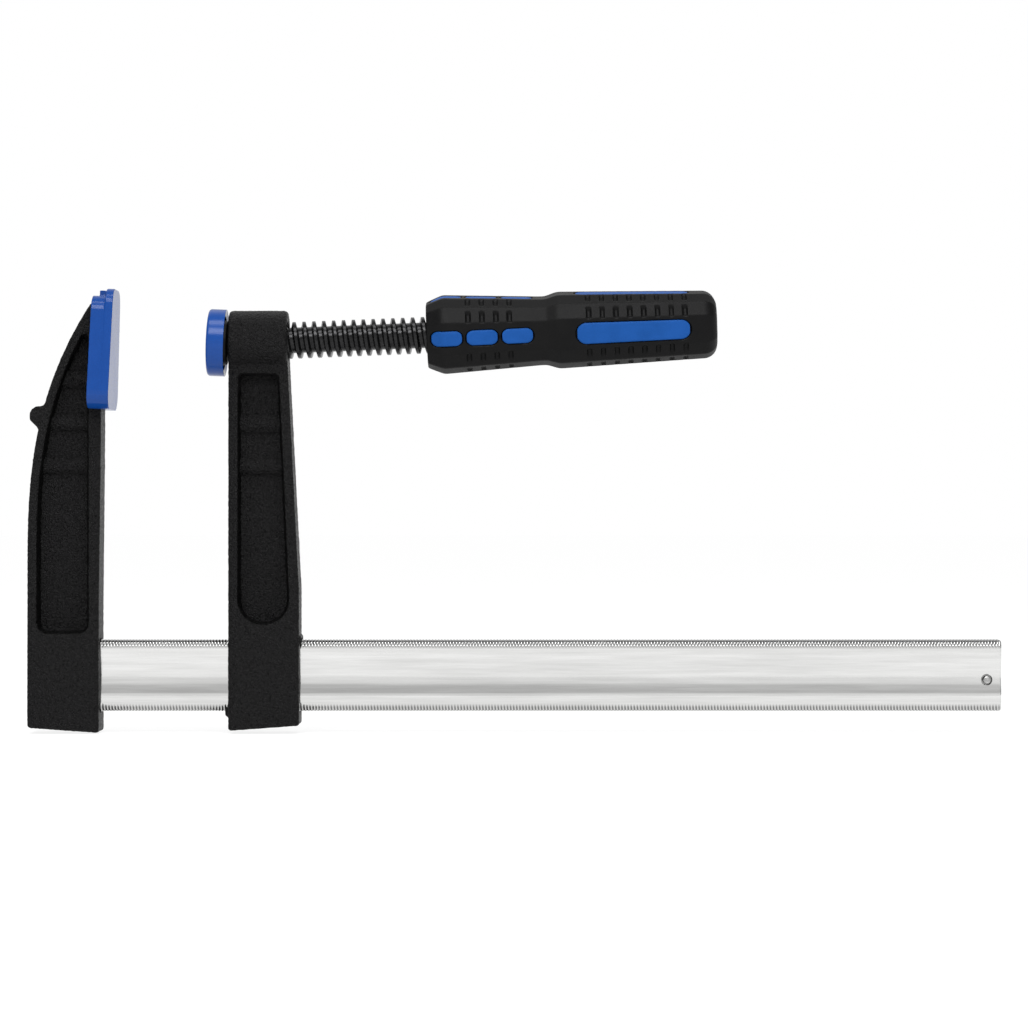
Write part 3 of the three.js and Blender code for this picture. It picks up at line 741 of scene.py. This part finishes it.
def make_grip():
    columns = 336
    angle = np.arange(columns) * TAU / columns
    from_top = math.pi / 2 - angle
    factor = section_factor(from_top)
    rear_start = HANDLE_LENGTH - GRIP_END_ROUND
    stations = np.linspace(0.45, rear_start, 378)
    outer = []
    for x, shrink in [(0.0, 1.0), (0.03, 0.5), (0.15, 0.2)]:
        outer.append(ring(x, (grip_radius(0.3) - shrink) * factor, columns))
    for s in stations:
        radius = float(grip_radius(s))
        depth = grip_cuts(np.full(columns, s), from_top, radius)
        outer.append(ring(s, radius * factor - depth, columns))
    for a in np.linspace(math.pi / 2, 0, 10)[1:]:
        x = rear_start + GRIP_END_ROUND * math.cos(a)
        radius = GRIP_REAR_RADIUS - GRIP_END_ROUND + GRIP_END_ROUND * math.sin(a)
        outer.append(ring(x, radius * factor, columns))
    for share in (0.8, 0.6):
        outer.append(ring(HANDLE_LENGTH, (GRIP_REAR_RADIUS - GRIP_END_ROUND) * share * factor, columns))
    outer.append(ring(HANDLE_LENGTH, 0.05, columns))
    bore_radius, bore_end, front_wall = 9.3, 108.5, 1.3
    bore = rounded([
        (bore_end, 0.05, 0), (bore_end, bore_radius, 0.5), (front_wall, bore_radius, 0.3),
        (front_wall, GRIP_MOUTH, 0.3), (0.0, GRIP_MOUTH, 0.3), (0.0, 10.5, 0),
    ])
    inner = [ring(x, r, columns) for x, r in bore]
    grip = make_piece("rubber_grip", *wrapped(inner + outer), HANDLE, sharp=55)
    finish_piece(grip, RUBBER, "spindle", "handle_grip")

    ribs, rib_depth = 12, 0.045
    core_factor = 1 - rib_depth * smoothstep(0.5 + 0.9 * np.cos(ribs * angle))
    core_rows = []
    for x, r in rounded([
        (80.4, 0.05, 0), (80.4, 5.3, 0), (1.6, 5.3, 0.3), (1.6, 9, 0.4), (108.2, 9, 0.6), (108.2, 0.05, 0),
    ]):
        core_rows.append(ring(x, r * (core_factor if r > 8 else 1), columns))
    core = make_piece("handle_core_sleeve", *wrapped(core_rows), HANDLE, sharp=50)
    finish_piece(core, CORE_PLASTIC, "spindle", "handle_core")


def make_inlay(inlay, land, quarter_turns):
    """A soft strip that lies in its hollow in the grip, flush with the land, its edge a little rounded."""
    start, end, front_width, back_width = INLAYS[inlay]
    length = end - start
    count = max(24, round(length / 0.8))
    ease = [0.5 - 0.5 * math.cos(math.pi * k / count) for k in range(count + 1)]
    shares = sorted({round(0.5 * e + 0.5 * k / count, 5) for k, e in enumerate(ease)})
    across = -np.cos(np.linspace(0, math.pi, 17))
    rows = []
    for share in shares[1:-1]:
        s = start + share * length
        front, back = front_width / 2, back_width / 2
        if s < start + front:
            half = math.sqrt(max(front ** 2 - (start + front - s) ** 2, 0))
        elif s > end - back:
            half = math.sqrt(max(back ** 2 - (s - end + back) ** 2, 0))
        else:
            half = front + (back - front) * share
        t = across * half
        away = -inlay_distance(inlay, np.full_like(t, s), t)
        drop = INLAY_EDGE_DROP * (1 - np.clip(away / INLAY_EDGE_WIDTH, 0, 1)) ** 2.2
        top = grip_radius(s) - drop
        bottom = np.full_like(t, float(grip_radius(s)) - INLAY_THICKNESS)
        upper = np.stack([np.full_like(t, s), -t, top], axis=-1)
        lower = np.stack([np.full_like(t, s), -t, bottom], axis=-1)[::-1]
        rows.append(np.vstack([upper, lower]))
    place = HANDLE @ Matrix.Rotation(quarter_turns * math.pi / 2, 4, "X")
    node = f"{inlay}_{land}"
    piece = make_piece(f"blue_{node}", *wrapped(rows), place, sharp=60)
    finish_piece(piece, BLUE_INLAY, "spindle", node)


# ---- setting ----

def make_world():
    """White to the eye. For light and reflections it is bright in front and behind, darker round the plane
    between them, and darker in a band above eye height."""
    world = bpy.data.worlds.new("studio")
    bpy.context.scene.world = world
    world.use_nodes = True
    nodes, links = world.node_tree.nodes, world.node_tree.links
    surround = nodes["Background"]
    where = nodes.new("ShaderNodeTexCoord")
    parts = nodes.new("ShaderNodeSeparateXYZ")
    links.new(where.outputs["Generated"], parts.inputs["Vector"])
    spread = nodes.new("ShaderNodeMapRange")
    spread.inputs["From Min"].default_value = -1
    spread.inputs["From Max"].default_value = 1
    links.new(parts.outputs["Z"], spread.inputs["Value"])
    bands = nodes.new("ShaderNodeValToRGB")
    stops = [(-90, 0.9), (-6, 0.98), (8, 0.98), (10, 0.67), (27, 0.6), (36, 0.9), (60, 1.3), (90, 1.6)]
    ramp = bands.color_ramp
    for i, (elevation, brightness) in enumerate(stops):
        position = (math.sin(math.radians(elevation)) + 1) / 2
        element = ramp.elements[i] if i < 2 else ramp.elements.new(position)
        element.position = position
        element.color = (brightness / 2, brightness / 2, brightness / 2, 1)
    ramp.elements[0].position = 0
    links.new(spread.outputs["Result"], bands.inputs["Fac"])
    squared = nodes.new("ShaderNodeMath")
    squared.operation = "MULTIPLY"
    links.new(parts.outputs["Y"], squared.inputs[0])
    links.new(parts.outputs["Y"], squared.inputs[1])
    sides = nodes.new("ShaderNodeMapRange")
    sides.inputs["From Max"].default_value = 0.45
    sides.inputs["To Min"].default_value = 0.35
    links.new(squared.outputs[0], sides.inputs["Value"])
    dimmed = nodes.new("ShaderNodeMix")
    dimmed.data_type = "RGBA"
    dimmed.blend_type = "MULTIPLY"
    dimmed.inputs["Factor"].default_value = 1.0
    links.new(bands.outputs["Color"], dimmed.inputs["A"])
    links.new(sides.outputs["Result"], dimmed.inputs["B"])
    links.new(dimmed.outputs["Result"], surround.inputs["Color"])
    surround.inputs["Strength"].default_value = 2.0
    seen = nodes.new("ShaderNodeBackground")
    seen.inputs["Color"].default_value = (1, 1, 1, 1)
    seen.inputs["Strength"].default_value = 1.0
    kind = nodes.new("ShaderNodeLightPath")
    chosen = nodes.new("ShaderNodeMixShader")
    links.new(kind.outputs["Is Camera Ray"], chosen.inputs["Fac"])
    links.new(surround.outputs["Background"], chosen.inputs[1])
    links.new(seen.outputs["Background"], chosen.inputs[2])
    links.new(chosen.outputs["Shader"], nodes["World Output"].inputs["Surface"])


def add_softbox(name, location, target, size, power):
    data = bpy.data.lights.new(name, "AREA")
    data.shape = "RECTANGLE"
    data.size, data.size_y = size
    data.energy = power
    light = bpy.data.objects.new(name, data)
    light.location = location
    light.rotation_mode = "QUATERNION"
    light.rotation_quaternion = (Vector(target) - Vector(location)).to_track_quat("-Z", "Y")
    bpy.context.scene.collection.objects.link(light)


def make_floor():
    mesh = bpy.data.meshes.new("floor")
    reach = 12.0
    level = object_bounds()[0].z - 0.0005
    corners = [(x * reach, y * reach, level) for x, y in ((-1, -1), (1, -1), (1, 1), (-1, 1))]
    mesh.from_pydata(corners, [], [(0, 1, 2, 3)])
    floor = bpy.data.objects.new("floor", mesh)
    bpy.context.scene.collection.objects.link(floor)
    material = bpy.data.materials.new("plain_white_floor")
    material.use_nodes = True
    shader = material.node_tree.nodes["Principled BSDF"]
    shader.inputs["Base Color"].default_value = (0.24, 0.24, 0.24, 1)
    shader.inputs["Roughness"].default_value = 1.0
    shader.inputs["Specular IOR Level"].default_value = 0.0
    shader.inputs["Emission Color"].default_value = (1, 1, 1, 1)
    shader.inputs["Emission Strength"].default_value = 0.84
    mesh.materials.append(material)


def make_camera():
    """Level with the middle of the clamp, looking along +Y at its whole length."""
    centre = Vector((0.1618, 0, -0.0675))
    distance = 1.3
    view_width = 0.4167
    data = bpy.data.cameras.new("camera")
    data.sensor_width = 36
    data.lens = data.sensor_width * distance / view_width
    camera = bpy.data.objects.new("camera", data)
    camera.location = centre - Vector((0, distance, 0))
    camera.rotation_euler = (math.pi / 2, 0, 0)
    bpy.context.scene.collection.objects.link(camera)
    bpy.context.scene.camera = camera


make_rail()
make_arms()
make_pad()
make_snap_ring()
make_spindle()
make_grip()
for inlay in INLAYS:
    for turns, land in enumerate(LANDS):
        make_inlay(inlay, land, turns)

bpy.context.scene.view_settings.view_transform = "Standard"
make_world()
make_floor()
add_softbox("key", location=(0.1, -0.98, 0.76), target=(0.15, 0, 0.0), size=(1.0, 0.42), power=9)
add_softbox("top", location=(0.15, -0.4, 1.15), target=(0.15, 0, -0.05), size=(1.2, 0.4), power=7)
make_camera()
